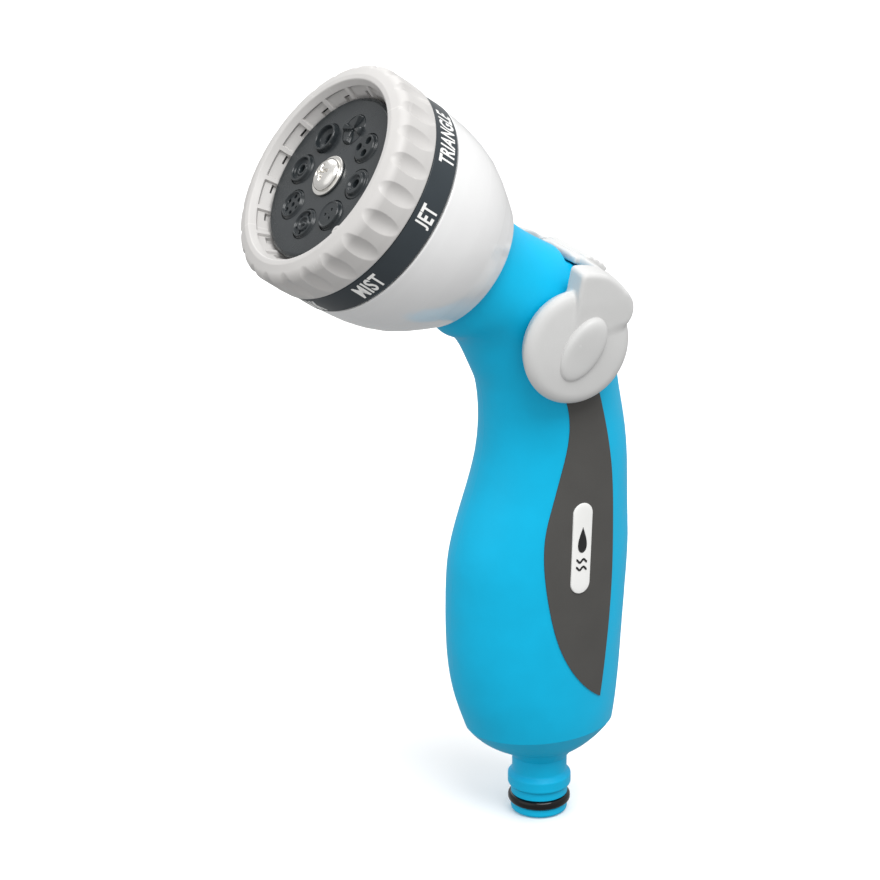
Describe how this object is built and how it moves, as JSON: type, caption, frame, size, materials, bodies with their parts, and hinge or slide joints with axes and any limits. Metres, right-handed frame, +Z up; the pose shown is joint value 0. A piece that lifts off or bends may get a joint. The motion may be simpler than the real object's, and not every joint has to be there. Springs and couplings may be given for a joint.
{
  "type": "hose spray nozzle",
  "caption": "Pistol-grip garden hose nozzle with a turning spray-pattern dial, a thumb lever valve and a quick-connect hose nipple.",
  "frame": {"origin": "centre of the open lower end of the hose nipple", "axes": "+Z up the handle along the nipple's axis, -Y the way the spray head leans, +X the side that the thumb lever's right cheek is on"},
  "size_m": [0.0584, 0.1011, 0.205],
  "materials": {
    "handle_blue": "satin, fine moulded grain",
    "grip_rubber": "matte",
    "badge_white": "satin",
    "seal_black": "smooth",
    "inner_plastic": "natural",
    "lever_grey": "satin",
    "ring_grey": "satin",
    "bell_white": "gloss",
    "band_slate": "satin, printed legends",
    "face_dark": "semi-gloss",
    "screw_steel": "zinc plated",
    "polished_steel": "polished"
  },
  "bodies": {
    "handle": {"handle_shell_right": "handle_blue", "handle_shell_left": "handle_blue", "grip_inlay_right": "grip_rubber", "grip_inlay_left": "grip_rubber", "badge_right": "badge_white", "badge_left": "badge_white", "handle_screws": "screw_steel", "inlet_nipple": "handle_blue", "inlet_o_ring": "seal_black", "supply_tube": "inner_plastic", "outlet_tube": "inner_plastic", "tube_seals": "seal_black", "valve_body": "inner_plastic", "inlet_seat": "seal_black", "outlet_seat": "seal_black", "bell_housing": "bell_white", "water_manifold": "inner_plastic", "port_seal": "seal_black", "hub_o_ring": "seal_black", "click_spring": "screw_steel", "centre_washer": "polished_steel", "centre_screw": "polished_steel"},
    "lever": {"thumb_lever": "lever_grey", "valve_rotor": "lever_grey", "rotor_o_rings": "seal_black", "lever_screws": "screw_steel", "lever_cap_right": "lever_grey", "lever_cap_left": "lever_grey"},
    "dial": {"dial_body": "ring_grey", "spray_plate": "face_dark", "label_band": "band_slate", "grip_ring": "ring_grey", "soaker_insert": "face_dark", "shower_insert": "face_dark", "fan_insert": "face_dark", "full_insert": "face_dark", "cone_insert": "face_dark", "mist_insert": "face_dark", "jet_insert": "face_dark", "triangle_insert": "face_dark"}
  },
  "joints": [
    {"name": "lever_pivot", "type": "hinge", "parent": "handle", "child": "lever", "pos_m": [0, -0.0017, 0.1348], "axis": [-1, 0, 0], "range_deg": [0, 40]},
    {"name": "dial_turn", "type": "hinge", "parent": "handle", "child": "dial", "pos_m": [0, 0.01062, 0.12933], "axis": [0, -0.8034, 0.5954], "continuous": true}
  ]
}
